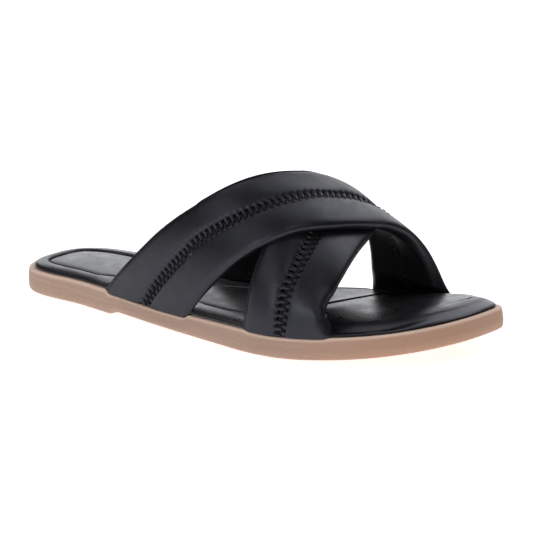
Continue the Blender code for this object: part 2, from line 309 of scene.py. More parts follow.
# Zigzag seam
STITCH_PITCH = 3.2
STITCH_SWING = 2.1
STITCH_PUFF = 0.50
STITCH_PIT = 1.9
STITCH_BAND_EASE = 0.7
REAR_PIT_OUT = 0.25
REAR_PIT_HALF = 0.62
REAR_PIT_STRETCH = 0.75
FRONT_PIT_OUT = 0.1
FRONT_PIT_HALF = 0.45
FRONT_PIT_SHARE = 0.5
GATHER = 0.12
GATHER_REACH = 2.0
GATHER_EASE = 0.8
FINE_GATHER = 0.03
FINE_REACH = 2.6
FINE_LEAN = 0.5
SEAM_REACH = 12.0
THREAD_RADIUS = 0.45
THREAD_RISE = 0.22
THREAD_DIVE = 3.5
THREAD_DIVE_SPAN = (0.8, 1.0)
THREAD_STEPS = 20
THREAD_END = 0.6
LINING_SINK = 0.3

# Creases: short soft troughs between two places on a strap, each with a low ridge on both sides
CREASE_RIDGE = 0.5
CREASE_RIDGE_AWAY = 2.0
CREASE_END = 0.04
CREASES = (
    # strap, across, outward (rear below zero) at the start, the same at the end, half width, depth
    ("under", 0.150, 1.00, 0.000, 0.97, 2.9, 1.3),
    ("under", 0.122, 1.00, 0.070, 0.90, 0.7, 0.9),
)

# Fineness of the meshes
SOLE_STATIONS = 400
END_CROWDING = 0.6
SIDE_STEPS = 4
SOLE_BASE_ROWS = 12
SOLE_TOP_ROWS = 6
PAD_BASE_ROWS = 4
STRAP_STEP = 0.385
CHANNEL_STEPS = 3
BAND_STEPS = 10
LEATHER_TURN = 6
PAD_ROWS = 30
BALL_ROWS = 29
BALL_ROWS_HALF = 0.014
LINE_STEPS = 1500


# Curves and steps


def column(table, index):
    """One column of a table as an array."""
    return np.array([row[index] for row in table])


def smooth_line(xs, ys, x):
    """Smooth curve through table points that never overshoots them."""
    xs, ys, x = np.asarray(xs, float), np.asarray(ys, float), np.asarray(x, float)
    step = np.diff(xs)
    slope = np.diff(ys) / step
    w1 = 2 * step[1:] + step[:-1]
    w2 = step[1:] + 2 * step[:-1]
    same = slope[:-1] * slope[1:] > 0
    safe = np.where(same, slope[:-1], 1.0), np.where(same, slope[1:], 1.0)
    inner = np.where(same, (w1 + w2) / (w1 / safe[0] + w2 / safe[1]), 0.0)
    tangent = np.concatenate([[slope[0]], inner, [slope[-1]]])
    k = np.clip(np.searchsorted(xs, x) - 1, 0, len(step) - 1)
    s = np.clip((x - xs[k]) / step[k], 0.0, 1.0)
    start = (1 + 2 * s) * (1 - s) ** 2 * ys[k] + s * (1 - s) ** 2 * step[k] * tangent[k]
    end = s * s * (3 - 2 * s) * ys[k + 1] + s * s * (s - 1) * step[k] * tangent[k + 1]
    return start + end


def rows_between(table, steps):
    """A table's columns with smooth rows added between its rows."""
    counts = np.broadcast_to(steps, len(table) - 1)
    place = np.concatenate([k + np.arange(n) / n for k, n in enumerate(counts)] + [[len(table) - 1.0]])
    rows = np.arange(len(table))
    return [smooth_line(rows, column(table, k), place) for k in range(len(table[0]))]


def ramp(x, low, high):
    """Eased step from 0 at low to 1 at high."""
    s = np.clip((np.asarray(x, float) - low) / (high - low), 0.0, 1.0)
    return s * s * (3 - 2 * s)


def bell(x, half):
    """Smooth hump, 1 at 0 and small past its half width."""
    return np.exp(-(np.asarray(x, float) / half) ** 2)


def unit(vectors):
    """Vectors of length 1."""
    return vectors / np.linalg.norm(vectors, axis=-1)[..., None]


# Shape of the sole


def end_round(u, toe):
    """Share of the half width left by the rounded heel and toe."""
    heel = np.clip((HEEL_ROUND[0] - u) / HEEL_ROUND[0], 0.0, 1.0)
    front = np.clip((u - 1 + toe[0]) / toe[0], 0.0, 1.0)
    return (1 - heel ** HEEL_ROUND[1]) ** (1 / HEEL_ROUND[1]) * (1 - front ** toe[1]) ** (1 / toe[1])


def side_lines(u):
    """Lateral and medial edge of the sole at shares of the length."""
    along = column(OUTLINE, 0)
    centre = TOE_POINT * np.clip((u - POINT_START) / (1 - POINT_START), 0.0, 1.0) ** POINT_POWER
    lateral = smooth_line(along, column(OUTLINE, 1), u) + centre
    medial = smooth_line(along, column(OUTLINE, 2), u) - centre
    middle = centre + PLAN_SHIFT
    lateral_edge = middle - lateral * end_round(u, TOE_ROUND_LATERAL)
    medial_edge = middle + medial * end_round(u, TOE_ROUND_MEDIAL)
    return lateral_edge, medial_edge


def spring(u):
    """Rise of the toe."""
    return TOE_SPRING * np.clip((u - SPRING_START) / (1 - SPRING_START), 0.0, 1.0) ** 2


def sole_bottom(u):
    """Underside: flat heel, lifted waist, flat forefoot with a clear front end and toe spring."""
    fall = np.clip((WAIST_END - u) / (WAIST_END - HEEL_BREAST[1]), 0.0, 1.0)
    flat_end = FLAT_RISE * ramp(u, SPRING_START, SPRING_START + FLAT_END)
    return WAIST_LIFT * ramp(u, *HEEL_BREAST) * fall + flat_end + spring(u)


def sole_top(u):
    """Top of the outsole."""
    return SOLE_HEEL + (SOLE_FORE - SOLE_HEEL) * ramp(u, *TOP_FALL) + spring(u)


def strap_ends(side):
    """Rear and front x of the strap ends of one side, with the depth of their seats."""
    end = 0 if side == "lateral" else -1
    seats = (REAR_SCOOP, FRONT_SCOOP) if side == "lateral" else (FRONT_SCOOP, REAR_SCOOP)
    return [(table[end][1], table[end][3], seat) for table, seat in zip((OVER_STRAP, UNDER_STRAP), seats)]


def end_reach(x, rear, front, ease):
    """1 along a strap end, easing to 0 beyond its edges."""
    return ramp(x, rear - ease, rear) * (1 - ramp(x, front, front + ease))


def scoop(u, side):
    """Depth of the dips in the top edge of one side of the sole."""
    x = (u - 0.5) * LENGTH
    ease = SCOOP_EASE
    return sum(seat * end_reach(x, rear + ease, front - ease, ease) for rear, front, seat in strap_ends(side))


def stations(extra=()):
    """Shares of the length, closer together at the heel and toe, with some more."""
    turn = np.linspace(0.0, np.pi, SOLE_STATIONS)
    crowded = (1 - np.cos(turn)) / 2 * END_CROWDING + turn / np.pi * (1 - END_CROWDING)
    return np.unique(np.concatenate([crowded, extra]))


def plan_ring(u, inset, lean=0.0):
    """Outline moved inward: heel to toe on the lateral side, then back on the medial side."""
    lateral = np.c_[(u - lean - 0.5) * LENGTH, side_lines(u - lean)[0]]
    medial = np.c_[(u + lean - 0.5) * LENGTH, side_lines(u + lean)[1]]
    ring = np.vstack([lateral, medial[-2:0:-1]])
    along = np.roll(ring, -1, axis=0) - np.roll(ring, 1, axis=0)
    inward = unit(np.c_[-along[:, 1], along[:, 0]])
    return ring + inward * np.reshape(inset, (-1, 1))


def share_of(plan):
    """Share of the length where each point of a plan lies."""
    return plan[:, 0] / LENGTH + 0.5


def ring_sides(u, value, lean=0.0):
    """Values of value(u, side) round a ring."""
    return np.concatenate([value(u - lean, "lateral"), value(u + lean, "medial")[-2:0:-1]])


def ring_shares(u, lean=0.0):
    """Share of the length of each point of a ring."""
    return ring_sides(u, lambda share, side: share, lean)


# Mesh building


def ring_faces(first, second, count):
    """Quads between two rings of equal count."""
    return [(first + i, first + (i + 1) % count, second + (i + 1) % count, second + i) for i in range(count)]


def fill_ring(points, faces, start, n, row, crown=None):
    """Closes a ring of n stations with rows of points across it, each raised to a crown in the middle.

    The crowns fade out over the first and last fifth of the stations.
    """
    count = 2 * n - 2
    ring = np.array(points[start:start + count])
    rows = [[start]]
    for i in range(1, n - 1):
        a, b = ring[i], ring[count - i]
        top = 0.0 if crown is None else crown[i] * ramp(min(i, n - 1 - i), 0, n / 5)
        line = [start + i]
        for k in range(1, row):
            across = 2 * k / row - 1
            line.append(len(points))
            points.append(a + (b - a) * (k / row) + np.array([0.0, 0.0, top * (1 - across ** 2)]))
        rows.append(line + [start + count - i])
    rows.append([start + n - 1])
    for low, high in zip(rows[:-1], rows[1:]):
        if len(low) == 1:
            faces += [(low[0], high[k + 1], high[k]) for k in range(row)]
        elif len(high) == 1:
            faces += [(high[0], low[k], low[k + 1]) for k in range(row)]
        else:
            faces += [(low[k], low[k + 1], high[k + 1], high[k]) for k in range(row)]


def add_piece(name, points, faces, materials, kinds=None):
    """Smooth closed mesh that rides on the shoe; kinds gives each face's material."""
    mesh = bpy.data.meshes.new(name)
    mesh.from_pydata((np.asarray(points) * MM).tolist(), [], faces)
    for material in materials:
        mesh.materials.append(material)
    if kinds is not None:
        mesh.polygons.foreach_set("material_index", np.asarray(kinds, dtype=np.int32))
    work = bmesh.new()
    work.from_mesh(mesh)
    bmesh.ops.recalc_face_normals(work, faces=work.faces)
    work.to_mesh(mesh)
    work.free()
    mesh.shade_smooth()
    piece = bpy.data.objects.new(name, mesh)
    bpy.context.scene.collection.objects.link(piece)
    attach(piece, "root")
    return piece


def add_values(piece, name, values):
    """Stores one number for each vertex, for the materials to read."""
    layer = piece.data.attributes.new(name, "FLOAT", "POINT")
    layer.data.foreach_set("value", np.asarray(values, dtype=np.float32))


def tube(points, faces, path, radius, sides=7):
    """Adds a closed round tube along a path to a mesh's points and faces."""
    path = np.asarray(path)
    along = unit(np.gradient(path, axis=0))
    nearly_up = np.array([0.03, 0.05, 1.0])
    side = unit(np.cross(along, nearly_up))
    up = np.cross(side, along)
    start = len(points)
    turns = np.linspace(0.0, 2 * np.pi, sides, endpoint=False)
    for p, a, b in zip(path, side, up):
        points += [p + radius * (a * np.cos(w) + b * np.sin(w)) for w in turns]
    for k in range(len(path) - 1):
        faces += ring_faces(start + k * sides, start + (k + 1) * sides, sides)
    faces.append(tuple(start + k for k in range(sides)))
    faces.append(tuple(start + (len(path) - 1) * sides + k for k in range(sides)))


# Materials


def start_material(name, colour, roughness):
    """Material with its Principled shader set to a colour and roughness."""
    material = bpy.data.materials.new(name)
    material.use_nodes = True
    shader = material.node_tree.nodes["Principled BSDF"]
    shader.inputs["Base Color"].default_value = (*colour, 1.0)
    shader.inputs["Roughness"].default_value = roughness
    return material, shader


def add_node(material, kind, **values):
    """Shader node with some of its inputs set by name."""
    node = material.node_tree.nodes.new(kind)
    for name, value in values.items():
        node.inputs[name.replace("_", " ")].default_value = value
    return node


def join(material, output, target):
    """Links two sockets."""
    material.node_tree.links.new(output, target)


def place(material, scale=(1.0, 1.0, 1.0)):
    """Position on the piece, stretched along the axes."""
    where = add_node(material, "ShaderNodeTexCoord")
    stretch = add_node(material, "ShaderNodeMapping", Scale=scale)
    join(material, where.outputs["Object"], stretch.inputs["Vector"])
    return stretch.outputs["Vector"]


def noise(material, scale, detail=3.0, stretch=(1.0, 1.0, 1.0)):
    """Noise from 0 to 1, with scale in spots per metre."""
    node = add_node(material, "ShaderNodeTexNoise", Scale=scale, Detail=detail, Roughness=0.55)
    join(material, place(material, stretch), node.inputs["Vector"])
    return node.outputs["Fac"]


def spread(material, value, low, high, from_low=0.3, from_high=0.7):
    """Value moved from one span to another."""
    node = add_node(material, "ShaderNodeMapRange")
    node.inputs["From Min"].default_value = from_low
    node.inputs["From Max"].default_value = from_high
    node.inputs["To Min"].default_value = low
    node.inputs["To Max"].default_value = high
    join(material, value, node.inputs["Value"])
    return node.outputs["Result"]


def tint(material, share, first, second):
    """Mix of two colours by a share; each is a colour or a socket that gives one."""
    node = material.node_tree.nodes.new("ShaderNodeMix")
    node.data_type = "RGBA"
    join(material, share, node.inputs["Factor"])
    sockets = {socket.name: socket for socket in node.inputs if socket.type == "RGBA"}
    for name, colour in (("A", first), ("B", second)):
        if isinstance(colour, bpy.types.NodeSocket):
            join(material, colour, sockets[name])
        else:
            sockets[name].default_value = (*colour, 1.0)
    return next(socket for socket in node.outputs if socket.type == "RGBA")


def relief(material, layers):
    """Bumps stacked on each other; each layer is a height, its strength and its depth in millimetres."""
    normal = None
    for height, strength, depth in layers:
        bump = add_node(material, "ShaderNodeBump", Strength=strength, Distance=depth * MM)
        join(material, height, bump.inputs["Height"])
        if normal is not None:
            join(material, normal, bump.inputs["Normal"])
        normal = bump.outputs["Normal"]
    return normal


def vertex_value(material, name):
    """A number stored on the mesh's vertices."""
    node = material.node_tree.nodes.new("ShaderNodeAttribute")
    node.attribute_name = name
    return node.outputs["Fac"]


def leather(name, dark, light, roughness, grain):
    """Black leather with a fine grain, soft colour changes and an uneven satin gloss."""
    material, shader = start_material(name, dark, roughness)
    shader.inputs["Specular IOR Level"].default_value = 0.6
    shader.inputs["Specular Tint"].default_value = (0.83, 0.84, 1.0, 1.0)
    cloud = noise(material, 55.0)
    join(material, tint(material, cloud, dark, light), shader.inputs["Base Color"])
    gloss = spread(material, noise(material, 160.0), roughness - 0.05, roughness + 0.06)
    join(material, gloss, shader.inputs["Roughness"])
    join(material, relief(material, [(noise(material, 1100.0, 2.0), grain, 0.1)]), shader.inputs["Normal"])
    return material


def strap_leather():
    """Soft satin leather of the straps' outside."""
    dark, light = (0.0030, 0.0031, 0.0038), (0.0056, 0.0058, 0.0068)
    return leather("strap_leather", dark, light, roughness=0.40, grain=0.22)


def strap_lining():
    """Plain lining of the straps' inside, a little lighter in colour and less shiny."""
    dark, light = (0.0080, 0.0080, 0.0082), (0.0140, 0.0140, 0.0142)
    material = leather("strap_lining", dark, light, roughness=0.38, grain=0.20)
    material.node_tree.nodes["Principled BSDF"].inputs["Specular IOR Level"].default_value = 0.5
    return material


def footbed_leather():
    """Smooth footbed leather: shiny under the toes, satin behind the groove across the ball."""
    dark, light = (0.0030, 0.0030, 0.0033), (0.0055, 0.0055, 0.0058)
    material = leather("footbed_leather", dark, light, roughness=0.30, grain=0.16)
    shader = material.node_tree.nodes["Principled BSDF"]
    satin = vertex_value(material, "satin")
    join(material, spread(material, satin, 0.0, 0.45, 0.0, 1.0), shader.inputs["Sheen Weight"])
    shader.inputs["Sheen Roughness"].default_value = 0.4
    return material


def thread():
    """Black twisted thread."""
    material, shader = start_material("black_thread", (0.001, 0.001, 0.001), 0.6)
    shader.inputs["Specular IOR Level"].default_value = 0.25
    strands = noise(material, 1800.0, 2.0, (1.0, 1.0, 2.5))
    colour = tint(material, strands, (0.0006, 0.0006, 0.0007), (0.0018, 0.0018, 0.0019))
    join(material, colour, shader.inputs["Base Color"])
    join(material, relief(material, [(strands, 0.5, 0.1)]), shader.inputs["Normal"])
    return material


def tan_rubber():
    """Matt tan rubber with fine specks and faint level streaks, warmer at the toe, with a painted highlight:
    a paler band along the top edge where its bevel faces the light from above.
    """
    material, shader = start_material("tan_rubber", (0.40, 0.25, 0.19), 0.6)
    specks = spread(material, noise(material, 1500.0, 4.0), 0.0, 1.0)
    body = tint(material, specks, (0.400, 0.257, 0.193), (0.524, 0.350, 0.270))
    level = noise(material, 60.0, 4.0, (0.5, 0.5, 14.0))
    streaks = spread(material, level, 0.0, 0.55, 0.45, 0.75)
    streaked = tint(material, streaks, body, (0.585, 0.410, 0.322))
    warm = spread(material, vertex_value(material, "warm"), 0.0, 0.7, 0.0, 1.0)
    warmed = tint(material, warm, streaked, (0.545, 0.300, 0.200))
    # Painted highlight: the top edge's bevel, where it faces the light from above, is painted in a paler
    # colour
    rim = vertex_value(material, "rim")
    join(material, tint(material, rim, warmed, (0.900, 0.670, 0.540)), shader.inputs["Base Color"])
    pores = noise(material, 900.0, 5.0)
    bumps = relief(material, [(pores, 0.25, 0.12), (level, 0.2, 0.1)])
    join(material, bumps, shader.inputs["Normal"])
    return material


def pale_floor():
    """Plain pale floor."""
    material, shader = start_material("pale_floor", (0.92, 0.92, 0.92), 0.7)
    shader.inputs["Specular IOR Level"].default_value = 0.1
    shader.inputs["Emission Color"].default_value = (1.0, 1.0, 1.0, 1.0)
    shader.inputs["Emission Strength"].default_value = 0.72
    return material


# Outsole


def build_outsole():
    """Moulded sole unit with its rounded lower edge and bevelled top edge."""
    u = stations()
    share = ring_shares(u)
    count = len(share)
    toe = ramp(share, *SIDE_CHANGE)
    points, faces, rim = [], [], []
    rows = list(zip(*rows_between(OUTSOLE_SIDE, SIDE_STEPS)))
    for up, heel_in, toe_in in rows:
        plan = plan_ring(u, heel_in + (toe_in - heel_in) * toe)
        low = sole_bottom(share_of(plan))
        edge = sole_top(share_of(plan)) - ring_sides(u, scoop)
        points += list(np.c_[plan, low + up * (edge - low)])
        # rim marks the top of the wall, where the tan rubber paints its highlight in a paler colour
        rim += [float(ramp(up, *RIM_HIGHLIGHT_SPAN))] * count
    plan = plan_ring(u, SCOOP_REACH)
    points += list(np.c_[plan, sole_top(share_of(plan))])
    for k in range(len(rows)):
        faces += ring_faces(k * count, (k + 1) * count, count)
    fill_ring(points, faces, 0, len(u), SOLE_BASE_ROWS)
    fill_ring(points, faces, len(rows) * count, len(u), SOLE_TOP_ROWS)
    piece = add_piece("outsole_skin", points, faces, [tan_rubber()])
    # Stores where the painted highlight along the top edge goes
    add_values(piece, "rim", rim + [0.0] * (len(points) - len(rim)))
    add_values(piece, "warm", ramp(share_of(np.array(points)), *WARM_SPAN))
    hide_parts("outsole")
    return piece


# Footbed


def strap_notch(u, side):
    """How far the footbed steps in beside the strap ends of one side, in millimetres."""
    x = (u - 0.5) * LENGTH
    depth = STRAP_EDGE_IN + FOOT_THICK + 2 * SEAT_GAP - INSOLE_IN
    ends = [(rear + NOTCH_IN, front - NOTCH_IN) for rear, front, _ in strap_ends(side)]
    return depth * sum(end_reach(x, rear, front, NOTCH_EASE) for rear, front in ends)


def ball_lean(u):
    """How far the footbed's rows lean, so that the groove across the ball runs askew."""
    return BALL_LEAN * bell(u - BALL_GROOVE, BALL_LEAN_HALF) * ramp(1 - u, 0.0, BALL_LEAN_FADE)


def groove_in(u, side):
    """Distance of the pad's groove from the sole's edge."""
    return smooth_line(column(GROOVE_IN, 0), column(GROOVE_IN, 1 if side == "lateral" else 2), u)


def pad_rise(u, side):
    """Rise of the pad at the inner arch and toward the groove across the ball."""
    return smooth_line(column(PAD_RISES[side], 0), column(PAD_RISES[side], 1), u)


def on_medial(u, side):
    """1 on the medial side, 0 on the lateral side, meeting at the toe."""
    return np.full_like(u, 0.0 if side == "lateral" else 1.0)


def footbed_ring(u, inward, heights):
    """One ring of the footbed at a share of its rim's width, with its heights along the shoe."""
    lean = ball_lean(u)
    share = ring_shares(u, lean)
    row = ring_shares(u)
    tip = INSOLE_TIP_IN * (ramp(share, *TOE_END) + 1 - ramp(share, *HEEL_END))
    edge = INSOLE_IN + tip + ring_sides(u, strap_notch, lean)
    inner = ring_sides(u, groove_in, lean)
    forefoot = ramp(row, BALL_GROOVE - 0.1 * BALL_STEP, BALL_GROOVE + 0.9 * BALL_STEP)
    groove = BALL_GROOVE_DEPTH * bell(row - BALL_GROOVE, BALL_GROOVE_HALF)
    heel, arch, outer, inner_side, toe = heights
    rise = ring_sides(u, pad_rise, lean) * ramp(inward, *RISE_SPAN)
    rear_high = heel + (arch - heel) * ramp(share, *ARCH_START) + rise
    near_ball = 1 - ramp(row, BALL_GROOVE, BALL_GROOVE + FORE_DIP_EASE)
    dip = FORE_DIP * near_ball * ramp(inward, *DIP_SPAN)
    side_high = outer + (inner_side - outer) * ring_sides(u, on_medial) - dip
    fore_high = side_high + (toe - side_high) * ramp(share, *TOE_TIP)
    high = rear_high + (fore_high - rear_high) * forefoot - groove * ramp(inward, *BALL_GROOVE_SPAN)
    reach = np.where(inward < 1, edge + inward * (inner - edge), inner + (inward - 1) * PAD_REACH)
    plan = plan_ring(u, reach, lean)
    return np.c_[plan, sole_top(share_of(plan)) + high]


def build_footbed():
    """Padded footbed with a rolled rim, a groove round its heel and arch pad and one across the ball."""
    u = stations(BALL_GROOVE + np.linspace(-BALL_ROWS_HALF, BALL_ROWS_HALF, BALL_ROWS))
    count = 2 * len(u) - 2
    points, faces = [], []
    rows = list(zip(*rows_between(FOOTBED_PROFILE, SIDE_STEPS)))
    for inward, *heights in rows:
        points += list(footbed_ring(u, inward, heights))
    for k in range(len(rows) - 1):
        faces += ring_faces(k * count, (k + 1) * count, count)
    fill_ring(points, faces, 0, len(u), PAD_BASE_ROWS)
    crown = PAD_CROWN + (FORE_CROWN - PAD_CROWN) * ramp(u, BALL_GROOVE, BALL_GROOVE + FORE_CROWN_EASE)
    fill_ring(points, faces, (len(rows) - 1) * count, len(u), PAD_ROWS, crown)
    piece = add_piece("footbed_pad", points, faces, [footbed_leather()])
    share = share_of(np.array(points))
    behind_ball = 1 - ramp(share, BALL_GROOVE - SATIN_END, BALL_GROOVE)
    more_at_arch = SATIN_AT_HEEL + (1 - SATIN_AT_HEEL) * ramp(share, *SATIN_SPAN)
    add_values(piece, "satin", behind_ball * more_at_arch)
    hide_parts("insole")
    return piece


def build_pad_stitches(material):
    """Short stitches on the arch pad beside its groove."""
    u = stations()
    shares = column(FOOTBED_PROFILE, 0)[1:]
    heights = [smooth_line(shares, column(FOOTBED_PROFILE, k)[1:], PAD_STITCH_IN) for k in range(1, 6)]
    ring = footbed_ring(u, PAD_STITCH_IN, heights)
    arch = PAD_STITCH_RISE * np.sin(np.pi * np.linspace(0.0, 1.0, PAD_STITCH_STEPS)) - PAD_STITCH_SINK
    points, faces = [], []
    for line in (ring[:len(u)], ring[len(u):]):
        share = share_of(line)
        line = line[(share > PAD_STITCH_SPAN[0]) & (share < PAD_STITCH_SPAN[1])]
        run = np.concatenate([[0.0], np.cumsum(np.linalg.norm(np.diff(line, axis=0), axis=1))])
        for start in np.arange(PAD_STITCH_START, run[-1] - PAD_STITCH, PAD_STITCH):
            spots = start + np.linspace(0.0, PAD_STITCH_LONG, PAD_STITCH_STEPS)
            path = np.stack([np.interp(spots, run, line[:, k]) for k in range(3)], axis=1)
            path[:, 2] += arch
            tube(points, faces, path, PAD_STITCH_RADIUS, sides=6)
    return add_piece("pad_stitches", points, faces, [material])


# Straps


def form_point(x, t, lift):
    """Point of the foot form at x, a share t over the foot from the lateral side."""
    u = x / LENGTH + 0.5
    lateral, medial = side_lines(u)
    lateral, medial = lateral + STRAP_EDGE_IN, medial - STRAP_EDGE_IN
    seat = np.where(t < 0.5, scoop(u, "lateral"), scoop(u, "medial"))
    low = sole_top(u) - seat + SEAT_GAP
    ridge = (lateral + medial) / 2 + RIDGE_IN
    crown = smooth_line(column(CROWN, 0), column(CROWN, 1), x) + lift
    turn = np.pi * np.clip(t, 0.0, 1.0)
    c, s = np.cos(turn), np.sin(turn)
    full = np.where(c >= 0, FULL_LATERAL, FULL_MEDIAL)
    reach = np.where(c >= 0, ridge - lateral, medial - ridge)
    y = ridge - np.sign(c) * reach * np.abs(c) ** (2 / full)
    z = low + (crown - low) * np.abs(s) ** (2 / full)
    return np.stack([x, y, z], axis=-1)


def form_normal(x, t, lift):
    """Outward direction of the foot form, level at the sole."""
    inside = np.clip(t, 2 * SHARE_STEP, 1 - 2 * SHARE_STEP)
    along = form_point(x + LENGTH_STEP, inside, lift) - form_point(x - LENGTH_STEP, inside, lift)
    over = form_point(x, inside + SHARE_STEP, lift) - form_point(x, inside - SHARE_STEP, lift)
    out = unit(np.cross(along, over))
    near_sole = 1 - ramp(np.minimum(t, 1 - t), 0.0, UPRIGHT_SHARE)
    out[..., 2] *= 1 - near_sole
    return unit(out)


def strap_lines(table, t):
    """x of a strap's rear edge, seam and front edge at shares over the foot."""
    return [smooth_line(column(table, 0), column(table, k), t) for k in (1, 2, 3)]


def strap_place(table, t, outward):
    """x of a place on a strap, outward from its seam: to the rear below zero, to the front above."""
    rear, seam, front = strap_lines(table, t)
    return seam + np.where(outward < 0, seam - rear, front - seam) * outward


def foot_squeeze(t):
    """Share of the strap's thickness that is left where it is pressed on the sole."""
    foot = 1 - ramp(np.minimum(t, 1 - t), *FOOT_SPAN)
    return 1 + (FOOT_THICK / STRAP_THICK - 1) * foot


def even_stations(table, lift):
    """Shares over the foot at equal steps along a strap's seam."""
    t = np.linspace(0.0, 1.0, LINE_STEPS)
    line = form_point(strap_place(table, t, np.zeros_like(t)), t, lift)
    run = np.concatenate([[0.0], np.cumsum(np.linalg.norm(np.diff(line, axis=0), axis=1))])
    return np.interp(np.arange(0.0, run[-1], STRAP_STEP).tolist() + [run[-1]], run, t)


def strap_section():
    """Outward places, outer depths and lining shares of the points round a strap."""
    steps = [[BAND_STEPS] + [CHANNEL_STEPS] * (len(side) - 2) for side in (REAR_CHANNEL, FRONT_CHANNEL)]
    rear_out, rear_deep = rows_between(REAR_CHANNEL, steps[0])
    front_out, front_deep = rows_between(FRONT_CHANNEL, steps[1])
    lining_out, lining_deep = rows_between(LINING_SIDE, CHANNEL_STEPS)
    outward = np.concatenate([-rear_out[::-1], front_out[1:], lining_out, -lining_out[-2::-1]])
    depth = np.concatenate([rear_deep[::-1], front_deep[1:]])
    share = np.concatenate([lining_deep, lining_deep[-2::-1]])
    return outward, depth, share


def seam_frame(table, lift, t, deep):
    """Points along a strap's seam at a depth, with their run, way along, way to the front and normal."""
    x = strap_place(table, t, np.zeros_like(t))
    normal = form_normal(x, t, lift)
    line = form_point(x, t, lift) - normal * (deep * foot_squeeze(t))[:, None]
    along = unit(np.gradient(line, axis=0))
    front = unit(np.cross(along, normal))
    front *= np.sign(front[:, :1])
    run = np.concatenate([[0.0], np.cumsum(np.linalg.norm(np.diff(line, axis=0), axis=1))])
    return line, run, along, front, normal


def zigzag(run):
    """Place of the zigzag thread beside the seam at a run along it, from -1 at the rear to 1 at the front."""
    return 4 * np.abs(run / STITCH_PITCH % 1.0 - 0.5) - 1


def stitch_relief(run, side):
    """Height of the leather round the zigzag: puffed between the stitches, with a pit at each needle hole."""
    lean = 1 / np.hypot(1.0, 4 * STITCH_SWING / STITCH_PITCH)
    gap = np.abs(side - STITCH_SWING * zigzag(run)) * lean
    band = 1 - ramp(np.abs(side), STITCH_SWING, STITCH_SWING + STITCH_BAND_EASE)
    puff = STITCH_PUFF * (1 - bell(gap, THREAD_RADIUS)) * band
    to_rear = run / STITCH_PITCH % 1.0 - 0.5
    to_front = (run / STITCH_PITCH + 0.5) % 1.0 - 0.5
    rear_hole = np.hypot(to_rear * STITCH_PITCH, (side + STITCH_SWING + REAR_PIT_OUT) * REAR_PIT_STRETCH)
    front_hole = np.hypot(to_front * STITCH_PITCH, side - STITCH_SWING - FRONT_PIT_OUT)
    rear_pits = STITCH_PIT * bell(rear_hole, REAR_PIT_HALF)
    front_pits = FRONT_PIT_SHARE * STITCH_PIT * bell(front_hole, FRONT_PIT_HALF)
    beside = ramp(-side, STITCH_SWING, STITCH_SWING + GATHER_EASE)
    scallops = GATHER * np.cos(2 * np.pi * to_rear) * beside * bell(side + STITCH_SWING, GATHER_REACH)
    farther = bell(side + STITCH_SWING + GATHER_REACH, FINE_REACH)
    wrinkles = FINE_GATHER * np.cos(4 * np.pi * to_rear + FINE_LEAN * side) * beside * farther
    return puff - (rear_pits + front_pits) - scallops - wrinkles


def crease_relief(strap, table, lift, spots):
    """Depth change from the listed creases at points of a strap."""
    change = np.zeros(spots.shape[:-1])
    for name, t0, out0, t1, out1, half, depth in CREASES:
        if name != strap:
            continue
        t, out = np.array([t0, t1]), np.array([out0, out1])
        a, b = form_point(strap_place(table, t, out), t, lift)
        share = np.clip((spots - a) @ (b - a) / np.sum((b - a) ** 2), 0.0, 1.0)
        away = np.linalg.norm(spots - a - share[..., None] * (b - a), axis=-1)
        fade = np.sin(np.pi * np.clip(share, CREASE_END, 1 - CREASE_END))
        ridge = CREASE_RIDGE * bell(away - CREASE_RIDGE_AWAY * half, half)
        change += depth * fade * (ridge - bell(away, half))
    return change


def strap_grid(strap, table, lift):
    """Points of a strap, station by station, and how many of each station are on its outside."""
    t = even_stations(table, lift)
    outward, depth, share = strap_section()
    outer = len(depth)
    spot = np.repeat(t[:, None], len(outward), axis=1)
    x = strap_place(table, spot, outward[None, :])
    base = form_point(x, spot, lift)
    normal = form_normal(x, spot, lift)
    squeeze = foot_squeeze(t)[:, None]
    deep = np.concatenate([depth * squeeze, STRAP_THICK * share * squeeze], axis=1)
    grid = base - normal * deep[..., None]
    line, run, along, front, _ = seam_frame(table, lift, t, REAR_CHANNEL[0][1])
    gap = grid[:, :outer] - line[:, None, :]
    near = np.abs(np.einsum("ijk,ik->ij", gap, front)) < SEAM_REACH
    to_run = run[:, None] + np.einsum("ijk,ik->ij", gap, along)
    to_side = np.einsum("ijk,ik->ij", gap, front)
    lift_out = np.where(near, stitch_relief(to_run, to_side), 0.0) * squeeze
    lift_out += crease_relief(strap, table, lift, base[:, :outer])
    grid[:, :outer] += normal[:, :outer] * lift_out[..., None]
    return grid, outer


def cap_faces(start, count, outer_count):
    """Strip of faces that closes a strap's end between its outer and inner line."""
    outer = [start + k for k in range(outer_count)]
    inner = [start + k for k in range(count - 1, outer_count - 1, -1)]
    faces = []
    i = j = 0
    while i < len(outer) - 1 or j < len(inner) - 1:
        ahead = (i + 1) / (len(outer) - 1) <= (j + 1) / (len(inner) - 1)
        if j == len(inner) - 1 or (i < len(outer) - 1 and ahead):
            faces.append((outer[i], outer[i + 1], inner[j]))
            i += 1
        else:
            faces.append((outer[i], inner[j + 1], inner[j]))
            j += 1
    return faces


def build_strap(strap, table, lift, materials):
    """One padded strap of two soft channels, with its lining."""
    grid, outer = strap_grid(strap, table, lift)
    stations_count, count = grid.shape[:2]
    points = grid.reshape(-1, 3)
    faces, kinds = [], []
    lining = range(outer + LEATHER_TURN, count - LEATHER_TURN)
    ring_kinds = [1 if i in lining else 0 for i in range(count)]
    for k in range(stations_count - 1):
        faces += ring_faces(k * count, (k + 1) * count, count)
        kinds += ring_kinds
    for start in (0, (stations_count - 1) * count):
        cap = cap_faces(start, count, outer)
        faces += cap
        kinds += [0] * len(cap)
    piece = add_piece(strap + "_strap", points, faces, materials, kinds)
    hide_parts("upper")
    return piece


